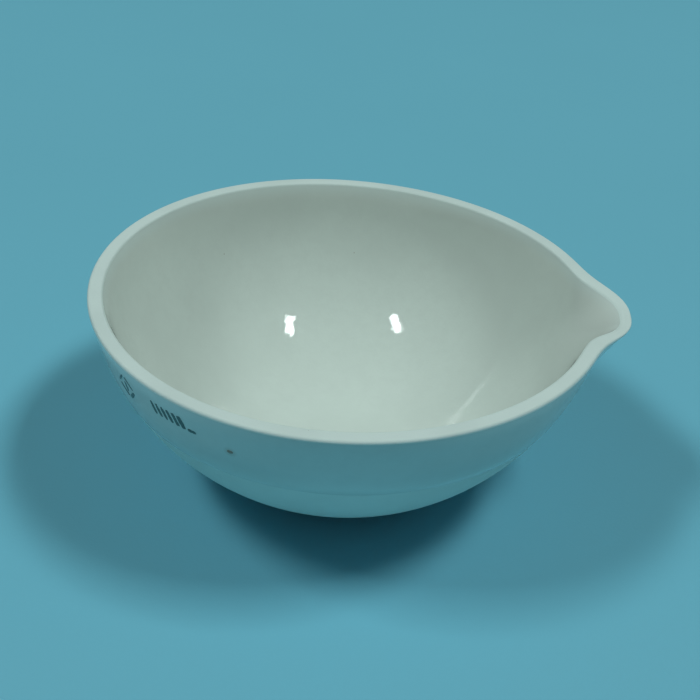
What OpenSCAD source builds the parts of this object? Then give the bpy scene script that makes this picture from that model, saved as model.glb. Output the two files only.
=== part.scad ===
// Evaporating dish: a round porcelain bowl with a pulled pouring lip.
// Millimetres. The origin is the centre of the base, +Z is up and the lip points along +X.

/* [Bowl] */
// Diameter across the rim, with the lip left out
rim_diameter = 80; // [64:1:110]
// Height from the base to the rim
height = 32; // [26:0.5:42]
// Diameter of the flat base
base_diameter = 27.6; // [18:0.2:34]
// Height of the straight collar under the rim
collar_height = 5.3; // [3:0.1:8]
// Lean of the collar from upright, in degrees
flare = 16; // [6:0.1:19]
// Thickness of the porcelain wall
wall = 2.3; // [1.8:0.1:3.6]
// Thickness of the porcelain floor
floor_thickness = 2.3; // [1.6:0.1:4]
// Radius on both edges of the flat rim
rim_rounding = 0.45; // [0.3:0.05:0.8]

/* [Pouring lip] */
// How far the outer edge of the lip reaches past the round rim
lip_reach = 4.6; // [2:0.1:8]
// How far the inner edge of the lip, the end of the channel, reaches past the round bowl
channel_reach = 5.3; // [2:0.1:8.5]
// Half of the angle that the lip takes up on the rim, in degrees
lip_half_angle = 12.6; // [8:0.1:20]
// Half of the angle that the channel takes up on the inner edge, in degrees
channel_half_angle = 11; // [7:0.1:18]
// How far the tip of the lip lies below the rim
lip_drop = 0.6; // [0:0.1:2]
// Depth below the rim at which the channel starts
channel_depth = 13; // [8:0.5:18]
// How sharply the channel curls outwards on its way up
channel_curl = 2.2; // [1.5:0.1:3]

/* [Glaze] */
// Thickness of the glaze, inside and out
glaze = 0.15; // [0.1:0.01:0.3]
// Depth below the rim at which the outside glaze ends
glaze_depth = 12.4; // [9:0.1:20]

/* [Stamp and speck] */
// Angle of the badge round the bowl from the lip, in degrees
badge_angle = -138.2; // [-175:0.1:-95]
// Depth of the badge's middle below the rim
badge_depth = 4.2; // [3.8:0.1:8]
// Width of the badge across its corners
badge_width = 4.2; // [2:0.1:5]
// Angle of the middle of the row of bars, in degrees
bars_angle = -124.5; // [-175:0.1:-90]
// Depth of the middle of the row below the rim
bars_depth = 3.9; // [3:0.1:8]
// Number of bars in the row
bar_count = 6; // [3:1:9]
// Distance from one bar to the next
bar_pitch = 1.05; // [0.8:0.05:1.4]
// Height of a bar
bar_height = 2.2; // [1:0.1:3]
// Width of the printed lines
line_width = 0.42; // [0.2:0.02:0.5]
// How far the print stands proud of the glaze
print_height = 0.05; // [0.02:0.01:0.1]
// Angle of the iron speck round the bowl, in degrees
speck_angle = -109.6; // [-175:0.1:-20]
// Depth of the iron speck below the rim
speck_depth = 6.1; // [5.5:0.1:8]
// Width of the iron speck
speck_width = 1; // [0.4:0.1:1.4]

/* [Hidden] */

$fn = 48;

porcelain = [0.68, 0.76, 0.76];
lining = [0.60, 0.68, 0.64];
coat = [0.64, 0.73, 0.73];
print_green = [0.05, 0.25, 0.24];
iron_brown = [0.35, 0.27, 0.20];

segments = 80;         // flats round the bowl
belly_steps = 7;       // flats up each stretch of the belly
bowl_steps = 13;       // flats from the middle of the floor to the collar
rounding_steps = 3;    // flats round each edge of the rim
crowding = 28;         // degrees by which the flats are drawn towards the lip
lip_squareness = 2.8;  // 2 gives a bell-shaped lip, higher values a blunter one
floor_easing = 1.5;    // softness of the turn from the floor to the bowl
print_root = 0.05;     // depth to which the print is let into the glaze
stroke_steps = 4;      // flats along a printed line
badge_stretch = 1.05;  // height of the badge as a share of its width
corner_gap = 0.14;     // share of each side that the badge leaves open at its corners
tick_share = 0.4;      // length of the badge's upright tick as a share of its height
bar_lean = -0.6;       // sideways run of a bar from its foot to its head
dash_gap = 0.95;       // distance along the row from the last bar to the closing dash
dash_length = 1.4;     // length of the closing dash
dash_drop = 0.9;       // depth of the closing dash below the middle of the row
speck_height = 0.1;    // how far the speck stands proud of the glaze
speck_flats = 12;      // flats round the speck

base_r = base_diameter / 2;
rise = tan(flare);
// Radius at which the collar would meet the rim's plane if the edge between them were left sharp
rim_r = rim_diameter / 2 + rim_rounding * ((1 + sin(flare)) / cos(flare) - 1);

// The belly is one arc, from the edge of the base to the foot of the collar, which it meets without a corner.
foot_z = height - collar_height;
foot_r = rim_r - collar_height * rise;
belly_run = foot_r - base_r;
belly_arc = (pow(belly_run, 2) + pow(foot_z, 2)) / (2 * (belly_run * cos(flare) - foot_z * sin(flare)));
arc_r = foot_r - belly_arc * cos(flare);
arc_z = foot_z + belly_arc * sin(flare);
foot_turn = 90 - flare;
base_turn = acos(arc_z / belly_arc);
glaze_turn = acos((arc_z - height + glaze_depth) / belly_arc);

// Centres of the two roundings of the rim
outer_corner_r = rim_r - rim_rounding * (1 + sin(flare)) / cos(flare);
inner_corner_r = rim_r - wall / cos(flare) + rim_rounding * (1 - sin(flare)) / cos(flare);
corner_z = height - rim_rounding;

// A station is a point of the section: its radius, its height, and its share of the way
// from the inner face, 0, to the outer face, 1.
function belly_station(turn, proud) =
    [arc_r + (belly_arc + proud) * sin(turn), arc_z - (belly_arc + proud) * cos(turn), 1];
function corner_station(centre_r, turn, proud, share) =
    [centre_r + (rim_rounding + proud) * cos(turn), corner_z + (rim_rounding + proud) * sin(turn), share];

function eased(gap) = (gap + sqrt(pow(gap, 2) + pow(floor_easing, 2))) / 2;
function bowl_z(r, proud) = arc_z - sqrt(pow(belly_arc - wall - proud, 2) - pow(max(0, r - arc_r), 2));
function bowl_station(r, proud) =
    let (ground = floor_thickness + proud)
    [r, ground + eased(bowl_z(r, proud) - ground), 0];

// The inner face from the floor up to the rim, and the outer face from one turn of the belly up to the rim
function inner_face(proud) = [
    let (top_r = arc_r + (belly_arc - wall - proud) * cos(flare))
    for (i = [1 : bowl_steps]) bowl_station(top_r * sin(90 * i / bowl_steps), proud),
    corner_station(inner_corner_r, 180 - flare, proud, 0)
];
function outer_face(start_turn, proud) = [
    for (i = [0 : belly_steps]) belly_station(start_turn + (foot_turn - start_turn) * i / belly_steps, proud),
    corner_station(outer_corner_r, -flare, proud, 1)
];
function rim_face() = [
    for (i = [1 : rounding_steps])
        corner_station(inner_corner_r, 180 - flare - (90 - flare) * i / rounding_steps, 0, 0),
    for (i = [0 : rounding_steps - 1])
        corner_station(outer_corner_r, 90 - (90 + flare) * i / rounding_steps, 0, 1)
];
function bare_face() = [
    for (i = [0 : belly_steps - 1]) belly_station(base_turn + (glaze_turn - base_turn) * i / belly_steps, 0)
];
function reversed(list) = [for (i = [len(list) - 1 : -1 : 0]) list[i]];

// The lip: a station is drawn outwards and a little down, most at the tip and not at all below the channel.
function between(low, high, share) = low + (high - low) * share;
function swell(station, angle) =
    pow(max(0, 1 - (height - station[1]) / channel_depth), channel_curl)
    * exp(-pow(abs(angle) / between(channel_half_angle, lip_half_angle, station[2]), lip_squareness));
function placed(station, angle) =
    let (pull = swell(station, angle))
    let (r = station[0] + between(channel_reach, lip_reach, station[2]) * pull)
    [r * cos(angle), r * sin(angle), station[1] - lip_drop * pull];
function spread_angle(i) = let (even = 360 * i / segments - 180) even - crowding * sin(even);

// A section swept round the bowl. A capped section runs from the inner middle to the outer middle
// and is closed by two flat discs; an uncapped one closes on itself as a ring.
module swept(section, capped) {
    rings = len(section);
    points = [for (station = section) for (i = [0 : segments - 1]) placed(station, spread_angle(i))];
    sides = [
        for (j = [0 : rings - (capped ? 2 : 1)], i = [0 : segments - 1])
            let (here = j * segments, next = ((j + 1) % rings) * segments, beside = (i + 1) % segments)
            for (face = [[here + i, here + beside, next + beside], [here + i, next + beside, next + i]]) face
    ];
    discs = [
        [for (i = [segments - 1 : -1 : 0]) i],
        [for (i = [0 : segments - 1]) (rings - 1) * segments + i]
    ];
    polyhedron(points, capped ? concat(sides, discs) : sides, convexity = 6);
}

// Radius of the glazed outside at a height, standing proud of the porcelain by a given amount
function coat_r(z, proud) =
    z > foot_z
    ? rim_r - (height - z) * rise + proud / cos(flare)
    : arc_r + sqrt(pow(belly_arc + proud, 2) - pow(arc_z - z, 2));

// A point of a mark, which is centred on an angle and a depth below the rim: across runs round the bowl,
// and up runs towards the rim.
function mark_point(mark, across, up, proud) =
    let (z = height - mark[1] + up)
    let (r = coat_r(z, proud))
    let (turn = mark[0] + across / coat_r(z, 0) * 180 / PI)
    [r * cos(turn), r * sin(turn), z];

// One printed line between two points of a mark, laid on the curve of the glaze
module stroke(mark, start, finish) {
    run = finish - start;
    side = [-run[1], run[0]] / norm(run) * line_width / 2;
    corners = [[1, glaze - print_root], [-1, glaze - print_root],
               [-1, glaze + print_height], [1, glaze + print_height]];
    points = [
        for (i = [0 : stroke_steps]) for (corner = corners)
            let (spot = start + run * i / stroke_steps + side * corner[0])
            mark_point(mark, spot[0], spot[1], corner[1])
    ];
    sides = [
        for (i = [0 : stroke_steps - 1], k = [0 : 3])
            let (here = 4 * i, beside = (k + 1) % 4)
            let (next = here + 4)
            for (face = [[here + k, next + beside, here + beside], [here + k, next + k, next + beside]]) face
    ];
    ends = [[0, 1, 2, 3], [for (k = [3 : -1 : 0]) 4 * stroke_steps + k]];
    polyhedron(points, concat(sides, ends), convexity = 2);
}

module porcelain_body() {
    color(porcelain)
        swept(
            concat(inner_face(0), rim_face(), reversed(outer_face(glaze_turn, 0)), reversed(bare_face())),
            true
        );
}

module inner_glaze() {
    color(lining)
        swept(concat(inner_face(glaze), reversed(inner_face(0))), true);
}

module outer_glaze() {
    color(coat)
        swept(concat(outer_face(glaze_turn, 0), reversed(outer_face(glaze_turn, glaze))), false);
}

// A diamond of four lines that stop short of its corners, round an upright tick
module stamp_badge() {
    mark = [badge_angle, badge_depth];
    half_w = badge_width / 2;
    half_h = half_w * badge_stretch;
    corners = [[half_w, 0], [0, half_h], [-half_w, 0], [0, -half_h]];
    color(print_green) {
        for (i = [0 : 3])
            let (start = corners[i], finish = corners[(i + 1) % 4])
            stroke(mark, between(start, finish, corner_gap), between(finish, start, corner_gap));
        stroke(mark, [0, -half_h * tick_share], [0, half_h * tick_share]);
    }
}

// A row of slanted bars, closed by a dash
module stamp_bars() {
    mark = [bars_angle, bars_depth];
    last = bar_pitch * (bar_count - 1) / 2;
    color(print_green) {
        for (i = [0 : bar_count - 1])
            let (across = bar_pitch * i - last)
            stroke(mark, [across - bar_lean / 2, -bar_height / 2], [across + bar_lean / 2, bar_height / 2]);
        stroke(mark, [last + dash_gap, -dash_drop], [last + dash_gap + dash_length, -dash_drop]);
    }
}

module iron_speck() {
    z = height - speck_depth;
    dome_r = (pow(speck_width / 2, 2) + pow(speck_height, 2)) / (2 * speck_height);
    lean = asin((arc_z - z) / belly_arc);
    color(iron_brown)
        rotate([0, 0, speck_angle])
            translate([coat_r(z, glaze), 0, z])
                rotate([0, 90 + lean, 0])
                    rotate_extrude($fn = speck_flats)
                        intersection() {
                            translate([0, speck_height - dome_r]) circle(dome_r);
                            translate([0, -print_root]) square([speck_width, speck_height + print_root]);
                        }
}

porcelain_body();
inner_glaze();
outer_glaze();
stamp_badge();
stamp_bars();
iron_speck();
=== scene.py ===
"""Evaporating dish: its porcelain, two glazes, printed stamp and iron speck, made round the packed frame.

Metres throughout. The origin is the centre of the base, +Z is up and the pouring lip points along +X.
"""
import math
from typing import NamedTuple

import bmesh
import bpy
from bpy.props import FloatProperty, FloatVectorProperty, IntProperty, PointerProperty
from mathutils import Matrix, Vector


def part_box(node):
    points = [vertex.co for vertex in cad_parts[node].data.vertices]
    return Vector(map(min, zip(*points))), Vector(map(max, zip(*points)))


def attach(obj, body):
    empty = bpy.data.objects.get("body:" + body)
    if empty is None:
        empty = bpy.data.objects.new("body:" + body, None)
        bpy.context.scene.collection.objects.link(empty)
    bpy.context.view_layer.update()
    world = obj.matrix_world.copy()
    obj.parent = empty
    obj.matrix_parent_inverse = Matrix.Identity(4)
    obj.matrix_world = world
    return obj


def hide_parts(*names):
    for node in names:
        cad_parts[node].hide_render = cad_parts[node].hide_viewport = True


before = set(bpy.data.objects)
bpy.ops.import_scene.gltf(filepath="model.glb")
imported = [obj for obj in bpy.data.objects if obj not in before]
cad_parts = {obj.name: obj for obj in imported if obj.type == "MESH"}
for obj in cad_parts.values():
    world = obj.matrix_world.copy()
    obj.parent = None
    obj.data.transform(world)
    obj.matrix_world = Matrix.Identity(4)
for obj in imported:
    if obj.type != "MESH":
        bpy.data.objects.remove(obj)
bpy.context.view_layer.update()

bl_info = {
    "name": "Evaporating Dish",
    "version": (1, 0, 0),
    "blender": (4, 5, 0),
    "location": "3D View > Sidebar > Dish",
    "description": "Turns, glazes and prints a porcelain evaporating dish, and sets its stage",
    "category": "Add Mesh",
}

MM = 0.001
BODY = "root"
CAD_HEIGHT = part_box("porcelain_body")[1][2]


def length(name, description, millimetres, low=0.0):
    return FloatProperty(name=name, description=description, default=millimetres * MM, min=low * MM,
                         unit="LENGTH", precision=5)


def angle(name, description, degrees):
    return FloatProperty(name=name, description=description, default=math.radians(degrees), subtype="ANGLE")


def number(name, description, value, low=0.0):
    return FloatProperty(name=name, description=description, default=value, min=low)


def colour(name, description, red, green, blue):
    return FloatVectorProperty(name=name, description=description, default=(red, green, blue),
                               min=0.0, max=1.0, size=3, subtype="COLOR")


# ---------------------------------------------------------------------------------------------------------
# Settings


class DishBowl(bpy.types.PropertyGroup):
    """Sizes of the round bowl"""

    rim_diameter: length("Rim diameter", "Width across the rim, with the lip left out", 80, 20)
    height: length("Height", "From the base to the rim", CAD_HEIGHT / MM, 5)
    base_diameter: length("Base diameter", "Width of the flat base", 27.6, 5)
    collar_height: length("Collar height", "Height of the straight collar under the rim", 5.3)
    flare: angle("Flare", "Lean of the collar from upright", 16)
    wall: length("Wall", "Thickness of the porcelain wall", 2.3)
    floor: length("Floor", "Thickness of the porcelain floor", 2.3)
    floor_easing: length("Floor easing", "Softness of the turn from the floor to the bowl", 1.5)
    rim_rounding: length("Rim rounding", "Radius on both edges of the flat rim", 0.45)
    base_rounding: length("Base rounding", "Radius on the edge of the base, which is rubbed smooth", 0.9)
    oval: length("Oval", "How far the fired rim is drawn out to an oval", 0.16)
    oval_angle: angle("Oval angle", "Way that the oval is drawn out, from the lip", -4)
    trefoil: length("Trefoil", "How far the fired rim swells in three places", 0.26)
    trefoil_angle: angle("Trefoil angle", "Place of the first swelling, from the lip", 12)


class DishLip(bpy.types.PropertyGroup):
    """Sizes of the pulled pouring lip"""

    reach: length("Lip reach", "How far the lip's outer edge passes the fired rim", 4.35)
    channel_reach: length("Channel reach", "How far the lip's inner edge passes the fired bowl", 5.05)
    half_angle: angle("Lip half angle", "Half of the angle that the lip takes up on the rim", 12)
    channel_half_angle: angle("Channel half angle", "Half of the angle of the channel at the edge", 10.4)
    drop: length("Lip drop", "How far the tip lies below the rim", 0.6)
    roll: length("Lip roll", "How far the lip's inner edge is smoothed down", 0.3)
    depth: length("Channel depth", "Depth below the rim at which the channel starts", 13)
    curl: number("Channel curl", "How sharply the channel turns outwards near the tip", 2.2, 1.0)
    squareness: number("Lip squareness", "2 is bell-shaped, and more is blunter", 2.8, 1.0)


class DishGlaze(bpy.types.PropertyGroup):
    """Sizes and colours of the porcelain and its glazes"""

    thickness: length("Glaze thickness", "Thickness of the glaze, inside and out", 0.15)
    edge: length("Glaze edge", "Width over which the glaze thins to nothing", 2.6)
    line_depth: length("Glaze line", "Depth below the rim at which the outside glaze ends", 12.4)
    line_wander: length("Line wander", "How far the glaze line strays up and down", 0.3)
    bare_colour: colour("Bare porcelain", "Colour of the unglazed porcelain", 0.69, 0.82, 0.79)
    inner_colour: colour("Bowl glaze", "Colour of the porcelain under the bowl's glaze", 0.685, 0.775, 0.725)
    # The porcelain's own tint, set darker and bluer than the bowl glaze over the same porcelain: painted
    # shade and painted blue floor light on the belly
    outer_shaded_colour: colour("Outside glaze", "Colour of the porcelain under the outer glaze", 0.60, 0.73, 0.715)


class DishStamp(bpy.types.PropertyGroup):
    """Sizes of the printed stamp and the iron speck"""

    badge_angle: angle("Badge angle", "Place of the badge round the bowl, from the lip", -138.2)
    badge_depth: length("Badge depth", "Depth of the badge's middle below the rim", 4.2)
    badge_width: length("Badge width", "Width of the badge across its corners", 4.2)
    bars_angle: angle("Bars angle", "Place of the row of bars round the bowl, from the lip", -124.5)
    bars_depth: length("Bars depth", "Depth of the middle of the row below the rim", 3.9)
    bar_count: IntProperty(name="Bars", description="Number of bars in the row", default=6, min=2)
    bar_pitch: length("Bar pitch", "Distance from one bar to the next", 1.05)
    bar_height: length("Bar height", "Height of a bar", 2.2)
    line_width: length("Line width", "Width of the printed lines", 0.42)
    print_height: length("Print height", "How far the print stands proud of the glaze", 0.03)
    speck_angle: angle("Speck angle", "Place of the iron speck round the bowl, from the lip", -109.6)
    speck_depth: length("Speck depth", "Depth of the iron speck below the rim", 6.1)
    speck_width: length("Speck width", "Width of the iron speck", 1.0)
    print_colour: colour("Print colour", "Colour of the fired print", 0.006, 0.050, 0.047)
    speck_colour: colour("Speck colour", "Colour of the iron speck", 0.24, 0.17, 0.11)


class DishStage(bpy.types.PropertyGroup):
    """Floor, lamps and camera"""

    floor_colour: colour("Floor colour", "Colour of the plain floor", 0.18, 0.52, 0.66)
    lamp_power: FloatProperty(name="Lamp power", description="Power of the soft boxes together", default=64.0,
                              min=0.0, unit="POWER")
    fill: number("Fill", "Strength of the light from all round", 0.08)
    backdrop: number("Backdrop", "Brightness of the plain backdrop", 0.5)
    lens: number("Lens", "Focal length of the camera in millimetres", 61.7, 1.0)


SETTINGS = {"dish_bowl": DishBowl, "dish_lip": DishLip, "dish_glaze": DishGlaze, "dish_stamp": DishStamp,
            "dish_stage": DishStage}


# ---------------------------------------------------------------------------------------------------------
# The section of the bowl

BELLY_STEPS = 44       # points up the belly, from the base to the collar
BOWL_STEPS = 64        # points from the middle of the floor to the collar
COLLAR_STEPS = 8
CORNER_STEPS = 8
EDGE_STEPS = 7         # points in each thin edge of a glaze
SEGMENTS = 256         # points round the bowl
MOST_OF_A_STEP = 0.98  # share of a step that the extra points of a thin edge may take up


class Section:
    """The upright section of the bowl. A spot is a radius, a height and the outward normal as an angle."""

    def __init__(self, bowl):
        self.bowl = bowl
        self.rise = math.tan(bowl.flare)
        cos_flare, sin_flare = math.cos(bowl.flare), math.sin(bowl.flare)
        rounding = bowl.rim_rounding
        # Radius at which the collar would meet the rim's plane if the edge between them were left sharp
        self.rim_r = bowl.rim_diameter / 2 + rounding * ((1 + sin_flare) / cos_flare - 1)
        self.base_r = bowl.base_diameter / 2
        self.foot_z = bowl.height - bowl.collar_height
        self.foot_r = self.rim_r - bowl.collar_height * self.rise
        run = self.foot_r - self.base_r
        self.arc = (run ** 2 + self.foot_z ** 2) / (2 * (run * cos_flare - self.foot_z * sin_flare))
        self.arc_r = self.foot_r - self.arc * cos_flare
        self.arc_z = self.foot_z + self.arc * sin_flare
        self.foot_turn = math.pi / 2 - bowl.flare
        self.base_turn = math.acos(self.arc_z / self.arc)
        self.corner_z = bowl.height - rounding
        self.outer_corner_r = self.rim_r - rounding * (1 + sin_flare) / cos_flare
        self.inner_corner_r = self.rim_r - bowl.wall / cos_flare + rounding * (1 - sin_flare) / cos_flare

    def turn_at(self, depth):
        """Turn of the belly arc at a depth below the rim"""
        return math.acos((self.arc_z - self.bowl.height + depth) / self.arc)

    def belly(self, start, stop, steps):
        """Spots on the belly arc, from one turn to another"""
        turns = (start + (stop - start) * i / steps for i in range(steps + 1))
        return [(self.arc_r + self.arc * math.sin(t), self.arc_z - self.arc * math.cos(t), t - math.pi / 2)
                for t in turns]

    def corner_spot(self, centre_r, turn):
        rounding = self.bowl.rim_rounding
        return centre_r + rounding * math.cos(turn), self.corner_z + rounding * math.sin(turn), turn

    def corner(self, centre_r, start, stop):
        turns = (start + (stop - start) * i / CORNER_STEPS for i in range(CORNER_STEPS + 1))
        return [self.corner_spot(centre_r, turn) for turn in turns]

    def inner_face(self):
        """From the middle of the floor up to the inner edge of the rim"""
        bowl, inner = self.bowl, self.arc - self.bowl.wall
        top_r = self.arc_r + inner * math.cos(bowl.flare)
        spots = []
        for i in range(BOWL_STEPS + 1):
            r = top_r * math.sin(math.pi / 2 * i / BOWL_STEPS)
            out = max(0.0, r - self.arc_r)
            drop = math.sqrt(inner ** 2 - out ** 2)
            gap = self.arc_z - drop - bowl.floor
            soft = math.hypot(gap, bowl.floor_easing)
            slope = (1 + gap / soft) / 2 * out / drop
            spots.append((r, bowl.floor + (gap + soft) / 2, math.atan2(1, -slope)))
        end = self.corner_spot(self.inner_corner_r, math.pi - bowl.flare)
        return spots + straight(spots[-1], end, COLLAR_STEPS)

    def outer_face(self, start, steps):
        """From one turn of the belly up to the outer edge of the rim"""
        spots = self.belly(start, self.foot_turn, steps)
        end = self.corner_spot(self.outer_corner_r, -self.bowl.flare)
        return spots + straight(spots[-1], end, COLLAR_STEPS)

    def rim(self):
        """The inner and the outer rounding of the rim, without the spots that the faces already have"""
        flare = self.bowl.flare
        inner = self.corner(self.inner_corner_r, math.pi - flare, math.pi / 2)
        outer = self.corner(self.outer_corner_r, math.pi / 2, -flare)
        return inner[1:], outer[:-1]

    def base(self):
        """The bare belly under the glaze line, the rubbed edge of the base and the flat base, going down"""
        start, edge = self.base_turn, self.bowl.base_rounding
        tangent = edge * math.tan(start / 2)
        keep = start + tangent / self.arc
        corner_r = self.base_r - tangent
        turns = [start * (1 - i / EDGE_STEPS) for i in range(EDGE_STEPS + 1)]
        rubbed = [(corner_r + edge * math.sin(t), edge - edge * math.cos(t), t - math.pi / 2) for t in turns]
        flat = [(corner_r * (1 - i / EDGE_STEPS), 0.0, -math.pi / 2) for i in range(1, EDGE_STEPS + 1)]
        return keep, rubbed[1:] + flat


def straight(start, end, steps):
    """Spots on the straight line after the start, up to and with the end"""
    return [tuple(a + (b - a) * i / steps for a, b in zip(start[:2], end[:2])) + (end[2],)
            for i in range(1, steps + 1)]


def lifted(spots, thickness, edge, thin_start):
    """The face of a glaze over its spots. It thins to nothing towards its end, and towards its start
    where thin_start is set."""
    walked = [0.0]
    for a, b in zip(spots, spots[1:]):
        walked.append(walked[-1] + math.dist(a[:2], b[:2]))

    def share(distance):
        near = min(1.0, distance / edge)
        return near * (2 - near)

    face = []
    for (r, z, normal), gone in zip(spots, walked):
        proud = thickness * share(walked[-1] - gone) * (share(gone) if thin_start else 1.0)
        face.append((r + proud * math.cos(normal), z + proud * math.sin(normal), normal))
    return face


def refined(spots, edge, at_start):
    """The spots with more of them in the thin edge, at the end and, where asked, at the start"""
    def ease_in(run):
        first, second = run[0], run[1]
        gap = math.dist(first[:2], second[:2])
        reach = min(edge, gap * MOST_OF_A_STEP) / gap
        steps = [reach * (i / EDGE_STEPS) ** 2 for i in range(1, EDGE_STEPS + 1)]
        return [first] + [tuple(a + (b - a) * s for a, b in zip(first, second)) for s in steps] + run[1:]

    spots = ease_in(spots[::-1])[::-1]
    return ease_in(spots) if at_start else spots


def mark(mesh, name, values):
    """A number for each point of a mesh"""
    mesh.attributes.new(name, "FLOAT", "POINT").data.foreach_set("value", values)


def section_mesh(name, spots_and_sides, closed, toe=None):
    """A polyline of the section, with each point's side, 0 inside and 1 outside, and its toe weight"""
    mesh = bpy.data.meshes.new(name)
    points = [(r, 0.0, z) for (r, z, normal), side in spots_and_sides]
    edges = [(i, i + 1) for i in range(len(points) - 1)]
    mesh.from_pydata(points, edges + ([(len(points) - 1, 0)] if closed else []), [])
    mark(mesh, "side", [side for spot, side in spots_and_sides])
    mark(mesh, "toe", toe or [0.0] * len(points))
    return mesh


# ---------------------------------------------------------------------------------------------------------
# Node trees

SOCKETS = {"geometry": "NodeSocketGeometry", "float": "NodeSocketFloat", "int": "NodeSocketInt",
           "material": "NodeSocketMaterial"}


class Tree:
    """A node tree that is written down as sums"""

    def __init__(self, tree):
        self.tree = tree
        self.nodes = tree.nodes
        self.nodes.clear()

    @classmethod
    def geometry(cls, name, inputs, outputs=(("Geometry", "geometry"),)):
        tree = cls(bpy.data.node_groups.new(name, "GeometryNodeTree"))
        for title, kind in inputs:
            tree.tree.interface.new_socket(name=title, in_out="INPUT", socket_type=SOCKETS[kind])
        for title, kind in outputs:
            tree.tree.interface.new_socket(name=title, in_out="OUTPUT", socket_type=SOCKETS[kind])
        tree.inlet = tree.nodes.new("NodeGroupInput").outputs
        tree.outlet = tree.nodes.new("NodeGroupOutput").inputs
        return tree

    def join(self, value, socket):
        if isinstance(value, bpy.types.NodeSocket):
            self.tree.links.new(value, socket)
        elif value is not None:
            socket.default_value = value

    def node(self, kind, inputs=(), **settings):
        """A node with its settings, and its inputs joined by position or by name"""
        node = self.nodes.new(kind)
        for name, value in settings.items():
            setattr(node, name, value)
        pairs = inputs.items() if isinstance(inputs, dict) else enumerate(inputs)
        for key, value in pairs:
            self.join(value, node.inputs[key])
        return node

    def math(self, operation, *values):
        return self.node("ShaderNodeMath", values, operation=operation).outputs[0]

    def add(self, *values):
        total = values[0]
        for value in values[1:]:
            total = self.math("ADD", total, value)
        return total

    def minus(self, a, b):
        return self.math("SUBTRACT", a, b)

    def times(self, *values):
        total = values[0]
        for value in values[1:]:
            total = self.math("MULTIPLY", total, value)
        return total

    def over(self, a, b):
        return self.math("DIVIDE", a, b)

    def between(self, low, high, share):
        return self.add(low, self.times(self.minus(high, low), share))

    def split(self, vector):
        return self.node("ShaderNodeSeparateXYZ", [vector]).outputs

    def vector(self, x, y, z):
        return self.node("ShaderNodeCombineXYZ", [x, y, z]).outputs[0]

    def round_axis(self, radius, turn, level):
        """The point at a radius, an angle and a height"""
        across, along = self.math("COSINE", turn), self.math("SINE", turn)
        return self.vector(self.times(radius, across), self.times(radius, along), level)

    def spot(self):
        return self.node("GeometryNodeInputPosition").outputs[0]

    def attribute(self, name):
        node = self.node("GeometryNodeInputNamedAttribute", {"Name": name}, data_type="FLOAT")
        return node.outputs["Attribute"]

    def moved(self, geometry, position):
        return self.node("GeometryNodeSetPosition", {"Geometry": geometry, "Position": position}).outputs[0]

    def noise(self, vector, scale, detail=2.0, roughness=0.5, dimensions="3D", **more):
        inputs = {"Vector": vector, "Scale": scale, "Detail": detail, "Roughness": roughness, **more}
        return self.node("ShaderNodeTexNoise", inputs, noise_dimensions=dimensions).outputs[0]

    def group(self, tree, inputs, shared):
        """A group's first output, from its inputs and the ones that it shares with this tree"""
        node = self.nodes.new("GeometryNodeGroup")
        node.node_tree = tree
        for key, value in {**inputs, **{title: self.inlet[title] for title, kind in shared}}.items():
            self.join(value, node.inputs[key])
        return node.outputs[0]


def floats(*titles):
    return tuple((title, "float") for title in titles)


SHAPE_INPUTS = floats("Height", "Oval", "Oval angle", "Trefoil", "Trefoil angle")
COAT_INPUTS = SHAPE_INPUTS + floats("Rim radius", "Rise", "Foot height", "Arc radius", "Arc centre radius",
                                    "Arc centre height", "Angle", "Depth")
WANDER_SEED = 11.0
ROLL_CURL = 14.0         # how sharply the roll of the lip's inner edge sets in
CRISP_ANGLE = 0.7        # edges that fold by more than this, in radians, stay crisp
AXIS_REACH = 10 * MM     # radius within which the kiln's warp fades to nothing
SPECK_FLATNESS = 0.62    # height of the speck as a share of its width


def warp_tree():
    """How far the kiln has drawn the wall out or in, at an angle and a height: not at all at the base"""
    t = Tree.geometry("Kiln warp", floats("Turn", "Level") + SHAPE_INPUTS, floats("Shift"))

    def swelling(title, lobes):
        turned_from = t.minus(t.inlet["Turn"], t.inlet[f"{title} angle"])
        return t.times(t.inlet[title], t.math("COSINE", t.times(turned_from, lobes)))

    share = t.over(t.inlet["Level"], t.inlet["Height"])
    t.join(t.times(t.add(swelling("Oval", 2.0), swelling("Trefoil", 3.0)), share), t.outlet[0])
    return t.tree


def smoothed(t, geometry, material):
    """Smooth faces with crisp edges, real geometry and a material, which end the tree of every piece"""
    smooth = t.node("GeometryNodeSetShadeSmooth", {"Geometry": geometry}, domain="FACE")
    fold = t.node("GeometryNodeInputMeshEdgeAngle").outputs["Unsigned Angle"]
    folded = t.math("GREATER_THAN", fold, CRISP_ANGLE)
    crisp = t.node("GeometryNodeSetShadeSmooth",
                   {"Geometry": smooth.outputs[0], "Selection": folded, "Shade Smooth": False}, domain="EDGE")
    real = t.node("GeometryNodeRealizeInstances", {"Geometry": crisp.outputs[0]})
    painted = t.node("GeometryNodeSetMaterial", {"Geometry": real.outputs[0], "Material": material})
    t.join(painted.outputs[0], t.outlet[0])


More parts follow.
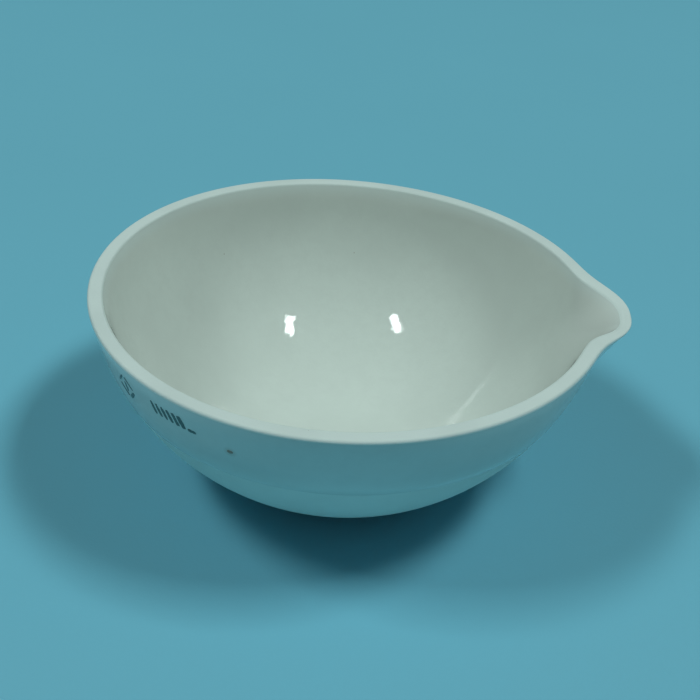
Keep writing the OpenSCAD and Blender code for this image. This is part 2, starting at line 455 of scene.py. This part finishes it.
def turned_tree(warp):
    """A section swept round the bowl, with the lip pulled out of it"""
    t = Tree.geometry("Turned piece", (
        ("Geometry", "geometry"), ("Segments", "int"), ("Closed", "int"), ("Material", "material"),
        *floats("Lip reach", "Channel reach", "Lip half angle", "Channel half angle", "Lip drop", "Lip roll",
                "Channel depth", "Channel curl", "Lip squareness", "Arc centre radius", "Arc centre height",
                "Line wander", "Wander seed"), *SHAPE_INPUTS))
    inlet = t.inlet
    size = t.node("GeometryNodeAttributeDomainSize", {"Geometry": inlet["Geometry"]}, component="MESH")
    stations = size.outputs["Point Count"]
    rows = t.add(stations, inlet["Closed"])
    grid = t.node("GeometryNodeMeshGrid", {"Size X": 1.0, "Size Y": 1.0, "Vertices Y": rows,
                                           "Vertices X": t.add(inlet["Segments"], 1.0)})
    spot = t.split(t.spot())
    column = t.add(spot[0], 0.5)
    row = t.math("ROUND", t.times(t.add(spot[1], 0.5), t.minus(rows, 1.0)))
    station = t.math("MODULO", row, stations)

    def sampled(kind, value):
        inputs = {"Geometry": inlet["Geometry"], "Value": value, "Index": station}
        node = t.node("GeometryNodeSampleIndex", inputs, data_type=kind, domain="POINT")
        return node.outputs["Value"]

    point = t.split(sampled("FLOAT_VECTOR", t.spot()))
    side, toe = (sampled("FLOAT", t.attribute(name)) for name in ("side", "toe"))
    turn = t.times(t.minus(column, 0.5), 2 * math.pi)

    # The toe of the outside glaze slides along the belly by an uneven amount.
    place = t.round_axis(1.0, turn, 0.0)
    uneven = t.minus(t.noise(place, 2.6, detail=3.0, dimensions="4D", W=inlet["Wander seed"]), 0.5)
    from_r = t.minus(point[0], inlet["Arc centre radius"])
    from_z = t.minus(point[2], inlet["Arc centre height"])
    slide = t.over(t.times(uneven, inlet["Line wander"], 2.0, toe), t.math("MAXIMUM", from_r, MM))
    radius = t.minus(point[0], t.times(slide, from_z))
    level = t.add(point[2], t.times(slide, from_r))

    risen = t.minus(1.0, t.over(t.minus(inlet["Height"], level), inlet["Channel depth"]))
    risen = t.math("MAXIMUM", risen, 0.0)
    rise = t.math("POWER", risen, inlet["Channel curl"])
    half = t.between(inlet["Channel half angle"], inlet["Lip half angle"], side)
    away = t.math("POWER", t.over(t.math("ABSOLUTE", turn), half), inlet["Lip squareness"])
    at_lip = t.math("EXPONENT", t.times(away, -1.0))
    pull = t.times(rise, at_lip)
    reach = t.between(inlet["Channel reach"], inlet["Lip reach"], side)
    shift = t.group(warp, {"Turn": turn, "Level": level}, SHAPE_INPUTS)
    # The shift fades at the axis, where the floor is one point.
    shift = t.times(shift, t.math("MINIMUM", t.over(radius, AXIS_REACH), 1.0))
    radius = t.add(radius, t.times(reach, pull), shift)
    # Only the inner edge of the lip is rolled, over the last millimetre or so.
    inner = t.minus(1.0, side)
    rolled = t.times(inlet["Lip roll"], inner, at_lip, t.math("POWER", risen, ROLL_CURL))
    level = t.minus(level, t.add(t.times(inlet["Lip drop"], pull), rolled))
    placed = t.moved(grid.outputs["Mesh"], t.round_axis(radius, turn, level))
    merged = t.node("GeometryNodeMergeByDistance", {"Geometry": placed, "Distance": MM / 10000})
    smoothed(t, merged.outputs[0], inlet["Material"])
    return t.tree


def coat_tree(warp):
    """Lays a flat piece on the outside glaze: X runs round the bowl, Y to the rim and Z out of the glaze"""
    t = Tree.geometry("Lay on the coat", (("Geometry", "geometry"), *COAT_INPUTS))
    inlet = t.inlet
    flat = t.split(t.spot())
    level = t.add(t.minus(inlet["Height"], inlet["Depth"]), flat[1])
    on_collar = t.minus(inlet["Rim radius"], t.times(t.minus(inlet["Height"], level), inlet["Rise"]))
    below = t.minus(inlet["Arc centre height"], level)
    arc = inlet["Arc radius"]
    out = t.math("SQRT", t.minus(t.times(arc, arc), t.times(below, below)))
    on_belly = t.add(inlet["Arc centre radius"], out)
    above_foot = t.math("GREATER_THAN", level, inlet["Foot height"])
    wall = t.between(on_belly, on_collar, above_foot)
    turn = t.add(inlet["Angle"], t.over(flat[0], wall))
    shift = t.group(warp, {"Turn": turn, "Level": level}, SHAPE_INPUTS)
    position = t.round_axis(t.add(wall, flat[2], shift), turn, level)
    t.join(t.moved(inlet["Geometry"], position), t.outlet[0])
    return t.tree


def printed_tree(coat):
    """Flat lines with uneven printed edges, laid on the coat"""
    t = Tree.geometry("Printed lines", (
        ("Geometry", "geometry"), ("Material", "material"),
        *floats("Line width", "Print depth", "Print height", "Raggedness"), *COAT_INPUTS))
    inlet = t.inlet
    lines = t.node("GeometryNodeMeshToCurve", {"Mesh": inlet["Geometry"]})
    fine = t.node("GeometryNodeResampleCurve", {"Curve": lines.outputs[0], "Count": 24}, mode="COUNT")
    upright = t.node("GeometryNodeSetCurveNormal", {"Curve": fine.outputs[0]}, mode="Z_UP")
    along = t.node("GeometryNodeSplineParameter").outputs["Factor"]
    # Each line is fullest in its middle and narrows to both ends, as a worn stamp prints.
    middle = t.math("SQRT", t.times(4.0, along, t.minus(1.0, along)))
    uneven = t.minus(t.noise(t.spot(), 1400.0, detail=2.0), 0.5)
    width = t.add(0.55, t.times(middle, 0.45), t.times(uneven, inlet["Raggedness"]))
    width = t.times(t.attribute("bold"), width)
    depth, height = inlet["Print depth"], inlet["Print height"]
    profile = t.node("GeometryNodeCurvePrimitiveQuadrilateral",
                     {"Width": inlet["Line width"], "Height": t.add(depth, height)})
    ribbon = t.node("GeometryNodeCurveToMesh", {"Curve": upright.outputs[0], "Scale": width,
                                                "Profile Curve": profile.outputs[0], "Fill Caps": True})
    spot = t.split(t.spot())
    upper = t.math("GREATER_THAN", spot[2], 0.0)
    level = t.between(t.times(depth, -1.0), height, upper)
    evened = t.moved(ribbon.outputs[0], t.vector(spot[0], spot[1], level))
    smoothed(t, t.group(coat, {"Geometry": evened}, COAT_INPUTS), inlet["Material"])
    return t.tree


def speck_tree(coat):
    """A flat uneven bead, laid on the coat"""
    t = Tree.geometry("Fired speck", (
        ("Geometry", "geometry"), ("Material", "material"),
        *floats("Width", "Print depth", "Print height", "Speck seed"), *COAT_INPUTS))
    inlet = t.inlet
    bead = t.node("GeometryNodeMeshUVSphere", {"Segments": 28, "Rings": 14, "Radius": 1.0})
    spot = t.spot()
    part = t.split(spot)
    lumps = t.minus(t.noise(spot, 1.3, dimensions="4D", W=inlet["Speck seed"]), 0.5)
    uneven = t.add(1.0, t.times(lumps, 1.1))
    half = t.times(inlet["Width"], 0.5)
    depth, height = inlet["Print depth"], inlet["Print height"]
    squash = t.times(t.add(height, depth), 0.5)
    level = t.add(t.times(part[2], squash), t.times(t.minus(height, depth), 0.5))
    position = t.vector(t.times(part[0], half, uneven), t.times(part[1], half, uneven, SPECK_FLATNESS), level)
    placed = t.moved(bead.outputs["Mesh"], position)
    smoothed(t, t.group(coat, {"Geometry": placed}, COAT_INPUTS), inlet["Material"])
    return t.tree


TREES = {}


def trees():
    """The node trees, built on first use"""
    if not TREES:
        warp = warp_tree()
        coat = coat_tree(warp)
        TREES.update(turned=turned_tree(warp), printed=printed_tree(coat), speck=speck_tree(coat))
    return TREES


# ---------------------------------------------------------------------------------------------------------
# Materials


def shader(name):
    """A new material's tree, its shader and its object coordinates"""
    material = bpy.data.materials.new(name)
    material.use_nodes = True
    t = Tree(material.node_tree)
    surface = t.node("ShaderNodeBsdfPrincipled")
    output = t.node("ShaderNodeOutputMaterial")
    t.join(surface.outputs[0], output.inputs["Surface"])
    place = t.node("ShaderNodeTexCoord").outputs["Object"]
    return material, t, surface, place


def mixed(t, first, second, share):
    """One colour laid over another by a share"""
    node = t.nodes.new("ShaderNodeMix")
    node.data_type = "RGBA"
    t.join(share, node.inputs["Factor"])
    for value, socket in ((first, node.inputs[6]), (second, node.inputs[7])):
        t.join(value if isinstance(value, bpy.types.NodeSocket) else (*value, 1.0), socket)
    return node.outputs[2]


def scaled(tint, factor):
    return tuple(min(1.0, part * factor) for part in tint)


def band(t, value, low, high, first, last):
    """A value carried smoothly from one range to another"""
    node = t.node("ShaderNodeMapRange", [value, low, high, first, last], interpolation_type="SMOOTHSTEP")
    return node.outputs[0]


def patchy(t, place, scale, detail, roughness, low, high):
    """Soft patches of noise, spread from 0 to 1 between two of its levels"""
    return band(t, t.noise(place, scale, detail=detail, roughness=roughness), low, high, 0.0, 1.0)


def evenly(surface, **values):
    """Sets the shader's inputs that are the same all over the piece"""
    for title, value in values.items():
        surface.inputs[title.replace("_", " ")].default_value = value


def scattered(t, place, scale, size, rarest):
    """Round grains of one size, in the share of the cells whose number is over the rarest, from 0 to 1"""
    cells = t.node("ShaderNodeTexVoronoi", {"Vector": place, "Scale": scale})
    grain = t.math("LESS_THAN", cells.outputs["Distance"], size)
    return t.times(grain, t.math("GREATER_THAN", t.split(cells.outputs["Color"])[0], rarest))


def bumped(t, surface, height, distance, coat=False):
    bump = t.node("ShaderNodeBump", {"Height": height, "Distance": distance, "Strength": 1.0})
    t.join(bump.outputs[0], surface.inputs["Normal"])
    if coat:
        t.join(bump.outputs[0], surface.inputs["Coat Normal"])


def bare_porcelain(settings):
    """Unglazed fired porcelain: dry, fine-grained, with a few dark grains, rubbed grey where it stands"""
    material, t, surface, place = shader("bare porcelain")
    tint = tuple(settings.bare_colour)
    cloud = patchy(t, place, 90.0, 3.0, 0.5, 0.35, 0.65)
    grain = t.noise(place, 5200.0, detail=3.0, roughness=0.65)
    ground = mixed(t, scaled(tint, 0.965), scaled(tint, 1.02), cloud)
    ground = mixed(t, ground, scaled(tint, 0.90), t.times(band(t, grain, 0.52, 0.75, 0.0, 1.0), 0.35))
    grit = scattered(t, place, 420.0, 0.045, 0.86)
    ground = mixed(t, ground, (0.30, 0.27, 0.23), t.times(grit, 0.7))
    level = t.split(place)[2]
    stretched = t.node("ShaderNodeMapping", {"Vector": place, "Scale": (0.22, 1.0, 1.0),
                                             "Rotation": (0, 0, 0.6)}).outputs[0]
    scuff = patchy(t, stretched, 900.0, 4.0, 0.7, 0.50, 0.68)
    near_base = band(t, level, 0.0, 3.0 * MM, 1.0, 0.0)
    ground = mixed(t, ground, (0.42, 0.44, 0.43), t.times(scuff, near_base, 0.45))
    t.join(ground, surface.inputs["Base Color"])
    t.join(band(t, grain, 0.3, 0.7, 0.58, 0.74), surface.inputs["Roughness"])
    evenly(surface, IOR=1.5, Specular_IOR_Level=0.42)
    bumped(t, surface, t.add(grain, t.times(t.noise(place, 1100.0), 0.6)), 0.02 * MM)
    return material


def glazed_porcelain(name, tint, thin, thin_levels, stain=None):
    """Clear gloss over white porcelain: cloudy white, faint ripples, pinholes. Between two levels its colour
    goes over to that of the thin glaze."""
    material, t, surface, place = shader(name)
    tint = tuple(tint)
    cloud = patchy(t, place, 55.0, 4.0, 0.55, 0.32, 0.68)
    fleck = patchy(t, place, 620.0, 3.0, 0.6, 0.40, 0.66)
    ground = mixed(t, scaled(tint, 0.955), scaled(tint, 1.015), cloud)
    ground = mixed(t, ground, scaled(tint, 0.95), t.times(fleck, 0.35))
    pinhole = scattered(t, place, 260.0, 0.03, 0.93)
    ground = mixed(t, ground, (0.33, 0.31, 0.26), t.times(pinhole, 0.6))
    ground = mixed(t, ground, tuple(thin), band(t, t.split(place)[2], *thin_levels, 0.0, 0.85))
    if stain:
        ground = stain(t, place, ground)
    t.join(ground, surface.inputs["Base Color"])
    t.join(band(t, fleck, 0.0, 1.0, 0.30, 0.38), surface.inputs["Roughness"])
    evenly(surface, IOR=1.5, Specular_IOR_Level=0.08, Coat_Weight=1.0, Coat_Roughness=0.02, Coat_IOR=1.52)
    ripple = t.add(t.noise(place, 140.0, detail=1.0), t.times(t.noise(place, 2300.0, detail=0.0), 0.35),
                   t.times(pinhole, -0.6))
    bumped(t, surface, ripple, 0.02 * MM, coat=True)
    return material


def fired_print(name, tint, thin, density_scale):
    """Fired colour with thin patches, under the same gloss as the glaze"""
    material, t, surface, place = shader(name)
    patches = patchy(t, place, density_scale, 4.0, 0.65, 0.42, 0.66)
    t.join(mixed(t, tuple(tint), thin, t.times(patches, 0.3)), surface.inputs["Base Color"])
    t.join(band(t, patches, 0.0, 1.0, 0.28, 0.42), surface.inputs["Roughness"])
    evenly(surface, Coat_Weight=0.6, Coat_Roughness=0.08)
    bumped(t, surface, patches, 0.008 * MM)
    return material


def paper_floor(tint):
    """Plain matt paper with a faint mottle"""
    material, t, surface, place = shader("floor")
    tint = tuple(tint)
    mottle = t.noise(place, 14.0, detail=4.0)
    t.join(mixed(t, scaled(tint, 0.97), scaled(tint, 1.02), mottle), surface.inputs["Base Color"])
    evenly(surface, Roughness=0.9, Specular_IOR_Level=0.15)
    bumped(t, surface, t.noise(place, 1600.0), 0.02 * MM)
    return material


# ---------------------------------------------------------------------------------------------------------
# Finished pieces


def added(name, data):
    """A new object in the scene"""
    thing = bpy.data.objects.new(name, data)
    bpy.context.scene.collection.objects.link(thing)
    return thing


def made(name, source, tree, inputs, cad_node):
    """Runs a node tree on a source mesh, keeps its result as a plain mesh and hands the piece to the frame"""
    piece = added(name, source)
    modifier = piece.modifiers.new(tree.name, "NODES")
    modifier.node_group = tree
    identifiers = {item.name: item.identifier for item in tree.interface.items_tree
                   if item.item_type == "SOCKET" and item.in_out == "INPUT"}
    for title, value in inputs.items():
        modifier[identifiers[title]] = value
    bpy.context.view_layer.update()
    mesh = bpy.data.meshes.new_from_object(piece.evaluated_get(bpy.context.evaluated_depsgraph_get()))
    piece.modifiers.clear()
    piece.data = mesh
    mesh.name = name
    shell = bmesh.new()
    shell.from_mesh(mesh)
    bmesh.ops.recalc_face_normals(shell, faces=shell.faces)
    open_edges = sum(1 for edge in shell.edges if not edge.is_manifold)
    shell.to_mesh(mesh)
    shell.free()
    if open_edges or not mesh.polygons:
        raise RuntimeError(f"{name} isn't a closed mesh: {open_edges} open edges, {len(mesh.polygons)} faces")
    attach(piece, BODY)
    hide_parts(cad_node)


def shape_inputs(bowl):
    return {"Height": bowl.height, "Oval": bowl.oval, "Oval angle": bowl.oval_angle, "Trefoil": bowl.trefoil,
            "Trefoil angle": bowl.trefoil_angle}


def turned(scene, name, mesh, closed, material, cad_node):
    """A piece turned from its section"""
    lip, section = scene.dish_lip, Section(scene.dish_bowl)
    inputs = {
        "Segments": SEGMENTS, "Closed": int(closed), "Material": material, "Lip reach": lip.reach,
        "Channel reach": lip.channel_reach, "Lip half angle": lip.half_angle,
        "Channel half angle": lip.channel_half_angle, "Lip drop": lip.drop, "Lip roll": lip.roll,
        "Channel depth": lip.depth, "Channel curl": lip.curl, "Lip squareness": lip.squareness,
        "Arc centre radius": section.arc_r, "Arc centre height": section.arc_z,
        "Line wander": scene.dish_glaze.line_wander, "Wander seed": WANDER_SEED,
        **shape_inputs(scene.dish_bowl)}
    made(name, mesh, trees()["turned"], inputs, cad_node)


def coat_inputs(scene, turn, depth):
    """Where a flat piece lies on the coat"""
    bowl, proud = scene.dish_bowl, scene.dish_glaze.thickness
    section = Section(bowl)
    return {"Rim radius": section.rim_r + proud / math.cos(bowl.flare), "Rise": section.rise,
            "Foot height": section.foot_z, "Arc radius": section.arc + proud,
            "Arc centre radius": section.arc_r, "Arc centre height": section.arc_z, "Angle": turn,
            "Depth": depth, **shape_inputs(bowl)}


def lines_mesh(name, lines):
    """Loose edges, one for each printed line, from its two ends and its boldness"""
    mesh = bpy.data.meshes.new(name)
    points = [(x, y, 0.0) for line in lines for x, y in line[:2]]
    mesh.from_pydata(points, [(2 * i, 2 * i + 1) for i in range(len(lines))], [])
    mark(mesh, "bold", [line[2] for line in lines for end in range(2)])
    return mesh


PRINT_ROOT = 0.05 * MM      # depth to which the print and the speck are let into the glaze
RAGGEDNESS = 1.1            # unevenness of a printed line's width


def printed(scene, name, lines, turn, depth, cad_node):
    """Printed lines laid on the coat"""
    stamp = scene.dish_stamp
    inputs = {"Line width": stamp.line_width, "Print depth": PRINT_ROOT, "Print height": stamp.print_height,
              "Raggedness": RAGGEDNESS, "Material": print_material(scene), **coat_inputs(scene, turn, depth)}
    made(name, lines_mesh(name, lines), trees()["printed"], inputs, cad_node)


def print_material(scene):
    found = bpy.data.materials.get("stamp print")
    return found or fired_print("stamp print", scene.dish_stamp.print_colour, (0.16, 0.33, 0.31), 2400.0)


# ---------------------------------------------------------------------------------------------------------
# Operators


class DISH_OT_porcelain_body(bpy.types.Operator):
    """Turn the bare porcelain body, with its flat rim, pouring lip and rubbed base"""

    bl_idname = "dish.porcelain_body"
    bl_label = "Porcelain body"

    def execute(self, context):
        scene = context.scene
        section = Section(scene.dish_bowl)
        keep, base = section.base()
        inner_rim, outer_rim = section.rim()
        outside = section.outer_face(keep, BELLY_STEPS)[::-1]
        spots = [(spot, 0.0) for spot in section.inner_face() + inner_rim]
        spots += [(spot, 1.0) for spot in outer_rim + outside + base]
        mesh = section_mesh("porcelain body", spots, closed=False)
        turned(scene, "porcelain_body_bare", mesh, False, bare_porcelain(scene.dish_glaze),
               "porcelain_body")
        return {"FINISHED"}


class DISH_OT_inner_glaze(bpy.types.Operator):
    """Line the bowl and the channel of the lip with glaze"""

    bl_idname = "dish.inner_glaze"
    bl_label = "Bowl glaze"

    def execute(self, context):
        scene, glaze = context.scene, context.scene.dish_glaze
        back = refined(Section(scene.dish_bowl).inner_face(), glaze.edge, at_start=False)
        front = lifted(back, glaze.thickness, glaze.edge, thin_start=False)
        spots = [(spot, 0.0) for spot in front + back[-2::-1]]
        mesh = section_mesh("inner glaze", spots, closed=False)
        rim = scene.dish_bowl.height
        thin_levels = (rim - glaze.edge, rim)
        gloss = glazed_porcelain("inner glaze", glaze.inner_colour, glaze.bare_colour, thin_levels)
        turned(scene, "inner_glaze_gloss", mesh, False, gloss, "inner_glaze")
        return {"FINISHED"}


TOE_REACH = 4.0 * MM    # height over which the glaze line's wander fades out


class DISH_OT_outer_glaze(bpy.types.Operator):
    """Coat the outside with glaze from under the rim down to the wandering glaze line"""

    bl_idname = "dish.outer_glaze"
    bl_label = "Outside glaze"

    def execute(self, context):
        scene, glaze = context.scene, context.scene.dish_glaze
        section = Section(scene.dish_bowl)
        start = section.turn_at(glaze.line_depth)
        back = refined(section.outer_face(start, BELLY_STEPS // 2), glaze.edge, at_start=True)
        front = lifted(back, glaze.thickness, glaze.edge, thin_start=True)
        loop = back + front[-2:0:-1]
        line_z = scene.dish_bowl.height - glaze.line_depth
        toe = [max(0.0, 1 - (z - line_z) / TOE_REACH) for r, z, normal in loop]
        mesh = section_mesh("outer glaze", [(spot, 1.0) for spot in loop], closed=True, toe=toe)
        # The outside glaze's base colour holds painted shade and painted floor light on the belly
        gloss = glazed_porcelain("outer glaze", glaze.outer_shaded_colour, glaze.bare_colour,
                                 (line_z + TOE_REACH, line_z), speck_halo(scene))
        turned(scene, "outer_glaze_gloss", mesh, True, gloss, "outer_glaze")
        return {"FINISHED"}


def speck_halo(scene):
    """A faint brown stain in the glaze round the iron speck"""
    inputs = coat_inputs(scene, scene.dish_stamp.speck_angle, scene.dish_stamp.speck_depth)
    level = scene.dish_bowl.height - scene.dish_stamp.speck_depth
    below = inputs["Arc centre height"] - level
    radius = inputs["Arc centre radius"] + math.sqrt(inputs["Arc radius"] ** 2 - below ** 2)
    turn = scene.dish_stamp.speck_angle
    centre = (radius * math.cos(turn), radius * math.sin(turn), level)
    width = scene.dish_stamp.speck_width
    tint = tuple(scene.dish_stamp.speck_colour)

    def stain(t, place, ground):
        away = t.node("ShaderNodeVectorMath", [place, centre], operation="DISTANCE").outputs["Value"]
        share = band(t, away, 0.4 * width, 1.2 * width, 0.25, 0.0)
        return mixed(t, ground, tint, share)

    return stain


# Boldness of the printed lines, as a share of the line width
LOWER_BOLDNESS = 1.4
TICK_BOLDNESS = 1.2
BAR_BOLDNESS = 1.3
DASH_BOLDNESS = 1.4


class DISH_OT_stamp_badge(bpy.types.Operator):
    """Print the badge: a diamond of four lines round an upright tick, worn thin along its top"""

    bl_idname = "dish.stamp_badge"
    bl_label = "Stamp badge"

    stretch: number("Stretch", "Height of the badge as a share of its width", 1.05)
    gap: number("Corner gap", "Share of each side left open at a corner", 0.14)
    tick: number("Tick", "Length of the tick as a share of the height", 0.4)
    worn: number("Worn", "Boldness of the two upper lines", 0.9)

    def execute(self, context):
        scene, stamp = context.scene, context.scene.dish_stamp
        half = stamp.badge_width / 2
        corners = [Vector(c) * half for c in ((1, 0), (0, self.stretch), (-1, 0), (0, -self.stretch))]
        lines = []
        for start, finish in zip(corners, corners[1:] + corners[:1]):
            bold = self.worn if start.y + finish.y > 0 else LOWER_BOLDNESS
            lines.append((tuple(start.lerp(finish, self.gap)), tuple(finish.lerp(start, self.gap)), bold))
        reach = half * self.stretch * self.tick
        lines.append(((0.0, -reach), (0.0, reach), TICK_BOLDNESS))
        printed(scene, "stamp_badge_print", lines, stamp.badge_angle, stamp.badge_depth, "stamp_badge")
        return {"FINISHED"}


class DISH_OT_stamp_bars(bpy.types.Operator):
    """Print the row of slanted bars, bolder towards the dash that closes it"""

    bl_idname = "dish.stamp_bars"
    bl_label = "Stamp bars"

    lean: length("Lean", "Sideways run of a bar from its head to its foot", 0.6)
    dash_gap: length("Dash gap", "Distance along the row from the last bar to the dash", 0.95)
    dash_length: length("Dash length", "Length of the closing dash", 1.4)
    dash_drop: length("Dash drop", "Depth of the dash below the middle of the row", 0.9)
    boldest: number("Boldest", "Boldness of the last bar", 1.9)

    def execute(self, context):
        scene, stamp = context.scene, context.scene.dish_stamp
        last = stamp.bar_pitch * (stamp.bar_count - 1) / 2
        half = stamp.bar_height / 2
        lines = []
        for i in range(stamp.bar_count):
            across = stamp.bar_pitch * i - last
            share = i / (stamp.bar_count - 1)
            bold = BAR_BOLDNESS + (self.boldest - BAR_BOLDNESS) * share ** 3
            lines.append(((across + self.lean / 2, -half), (across - self.lean / 2, half), bold))
        dash = last + self.dash_gap
        lines.append(((dash, -self.dash_drop), (dash + self.dash_length, -self.dash_drop), DASH_BOLDNESS))
        printed(scene, "stamp_bars_print", lines, stamp.bars_angle, stamp.bars_depth, "stamp_bars")
        return {"FINISHED"}


SPECK_SEED = 2.0


class DISH_OT_iron_speck(bpy.types.Operator):
    """Fire the iron speck into the outside glaze"""

    bl_idname = "dish.iron_speck"
    bl_label = "Iron speck"

    height: length("Height", "How far the speck stands proud of the glaze", 0.06)

    def execute(self, context):
        scene, stamp = context.scene, context.scene.dish_stamp
        seat = bpy.data.meshes.new("speck seat")
        material = fired_print("iron speck", stamp.speck_colour, (0.42, 0.33, 0.24), 1500.0)
        inputs = {"Width": stamp.speck_width, "Print depth": PRINT_ROOT, "Print height": self.height,
                  "Speck seed": SPECK_SEED, "Material": material,
                  **coat_inputs(scene, stamp.speck_angle, stamp.speck_depth)}
        made("iron_speck_bead", seat, trees()["speck"], inputs, "iron_speck")
        return {"FINISHED"}


# The camera stands this many rim radii from the middle of the rim, and is aimed in degrees.
CAMERA_AWAY = 4.702
CAMERA_ELEVATION = 29.8
CAMERA_ROUND = 1.8
CAMERA_PAN = -0.347
CAMERA_TILT = -3.0
CAMERA_ROLL = -4.06
LAMP_AWAY = 3.0          # metres from the dish
FLOOR_REACH = 1.5        # metres from the dish to each side of the floor
LIGHT_COLOUR = (0.90, 1.0, 0.985)


class Lamp(NamedTuple):
    """A lamp in the camera's frame: X to the right, Y away from it and Z up"""

    spot: tuple         # the point it shines at, in rim radii from the middle of the rim
    direction: tuple    # from that point to the lamp
    along: tuple        # the way its length runs
    sizes: tuple        # width and length as seen from the dish, in degrees
    share: float        # its share of the stage's lamp power
    soft: bool          # a soft box lights the dish; the others only show in the glaze


LAMPS = {
    "right soft box": Lamp((0, 0, 0), (0.45, -0.04, 0.89), (0, 1, 0.04), (9.0, 17.0), 0.55, True),
    "left soft box": Lamp((0, 0, 0), (-0.54, -0.10, 0.83), (0, 1, 0.12), (9.0, 17.0), 0.45, True),
    "right glint": Lamp((-0.24, 0.575, -0.567), (0.428, -0.283, 0.858), (-0.07, 0.93, 0.37), (3.5, 9.8),
                        0.16, False),
    "left glint": Lamp((0.234, 0.62, -0.531), (-0.426, -0.386, 0.818), (-0.20, 0.91, 0.35), (3.0, 9.2),
                       0.135, False),
}


class DISH_OT_stage(bpy.types.Operator):
    """Lay the plain floor, hang the lamps and set up the camera"""

    bl_idname = "dish.stage"
    bl_label = "Stage"

    def execute(self, context):
        scene = context.scene
        self.lay_floor(scene)
        for name, lamp in LAMPS.items():
            self.hang_lamp(scene, name, lamp)
        self.light_room(scene)
        scene.view_settings.view_transform = "Standard"
        self.set_camera(scene)
        return {"FINISHED"}

    def light_room(self, scene):
        """Even light from all round, and a paler plain backdrop to look at"""
        world = bpy.data.worlds.new("soft room")
        world.use_nodes = True
        t = Tree(world.node_tree)
        seen = t.node("ShaderNodeLightPath").outputs["Is Camera Ray"]
        strength = t.between(scene.dish_stage.fill, scene.dish_stage.backdrop, seen)
        light = t.node("ShaderNodeBackground", {"Color": (*LIGHT_COLOUR, 1.0), "Strength": strength})
        t.node("ShaderNodeOutputWorld", {"Surface": light.outputs[0]})
        scene.world = world

    def lay_floor(self, scene):
        mesh = bpy.data.meshes.new("floor")
        shell = bmesh.new()
        bmesh.ops.create_grid(shell, x_segments=8, y_segments=8, size=FLOOR_REACH)
        shell.to_mesh(mesh)
        shell.free()
        mesh.materials.append(paper_floor(scene.dish_stage.floor_colour))
        added("floor", mesh)

    def hang_lamp(self, scene, name, lamp):
        light = bpy.data.lights.new(name, "AREA")
        light.shape = "RECTANGLE"
        light.size, light.size_y = (2 * LAMP_AWAY * math.tan(math.radians(size) / 2) for size in lamp.sizes)
        light.energy = scene.dish_stage.lamp_power * lamp.share
        light.color = LIGHT_COLOUR
        turn = Matrix.Rotation(math.radians(CAMERA_ROUND), 4, "Z")
        back = Vector(lamp.direction).normalized()
        across = Vector(lamp.along).cross(back).normalized()
        axes = Matrix((across, back.cross(across), back)).transposed().to_4x4()
        rim = Vector((0, 0, scene.dish_bowl.height))
        spot = Vector(lamp.spot) * scene.dish_bowl.rim_diameter / 2
        hung = added(name, light)
        hung.visible_glossy = not lamp.soft
        hung.visible_diffuse = lamp.soft
        away = Matrix.Translation(spot + back * LAMP_AWAY)
        hung.matrix_world = Matrix.Translation(rim) @ turn @ away @ axes

    def set_camera(self, scene):
        data = bpy.data.cameras.new("camera")
        data.sensor_width = 36.0
        data.lens = scene.dish_stage.lens
        camera = added("camera", data)
        rise, turn = math.radians(CAMERA_ELEVATION), math.radians(CAMERA_ROUND)
        away = CAMERA_AWAY * scene.dish_bowl.rim_diameter / 2
        level = Matrix.Rotation(math.pi / 2 - rise, 4, "X")
        pan, tilt, roll = (Matrix.Rotation(math.radians(turned_by), 4, axis) for turned_by, axis in
                           ((CAMERA_PAN, "Y"), (CAMERA_TILT, "X"), (-CAMERA_ROLL, "Z")))
        stand = Matrix.Translation((0, 0, scene.dish_bowl.height)) @ Matrix.Rotation(turn, 4, "Z") @ level
        camera.matrix_world = stand @ Matrix.Translation((0, 0, away)) @ pan @ tilt @ roll
        scene.camera = camera


PIECES = (DISH_OT_porcelain_body, DISH_OT_inner_glaze, DISH_OT_outer_glaze, DISH_OT_stamp_badge,
          DISH_OT_stamp_bars, DISH_OT_iron_speck, DISH_OT_stage)


class DISH_PT_panel(bpy.types.Panel):
    """Settings and pieces of the dish"""

    bl_idname = "DISH_PT_panel"
    bl_label = "Evaporating Dish"
    bl_space_type = "VIEW_3D"
    bl_region_type = "UI"
    bl_category = "Dish"

    def draw(self, context):
        for piece in PIECES:
            self.layout.operator(piece.bl_idname)
        for title, group in SETTINGS.items():
            box = self.layout.box()
            box.label(text=group.__doc__)
            for name in group.__annotations__:
                box.prop(getattr(context.scene, title), name)


CLASSES = (*SETTINGS.values(), *PIECES, DISH_PT_panel)


def register():
    for cls in CLASSES:
        bpy.utils.register_class(cls)
    for title, group in SETTINGS.items():
        setattr(bpy.types.Scene, title, PointerProperty(type=group))


def unregister():
    for title in SETTINGS:
        delattr(bpy.types.Scene, title)
    for cls in reversed(CLASSES):
        bpy.utils.unregister_class(cls)


def main():
    register()
    bpy.ops.dish.stage()
    bpy.ops.dish.porcelain_body()
    bpy.ops.dish.inner_glaze()
    bpy.ops.dish.outer_glaze()
    bpy.ops.dish.stamp_badge()
    bpy.ops.dish.stamp_bars()
    bpy.ops.dish.iron_speck()


if __name__ == "__main__":
    main()
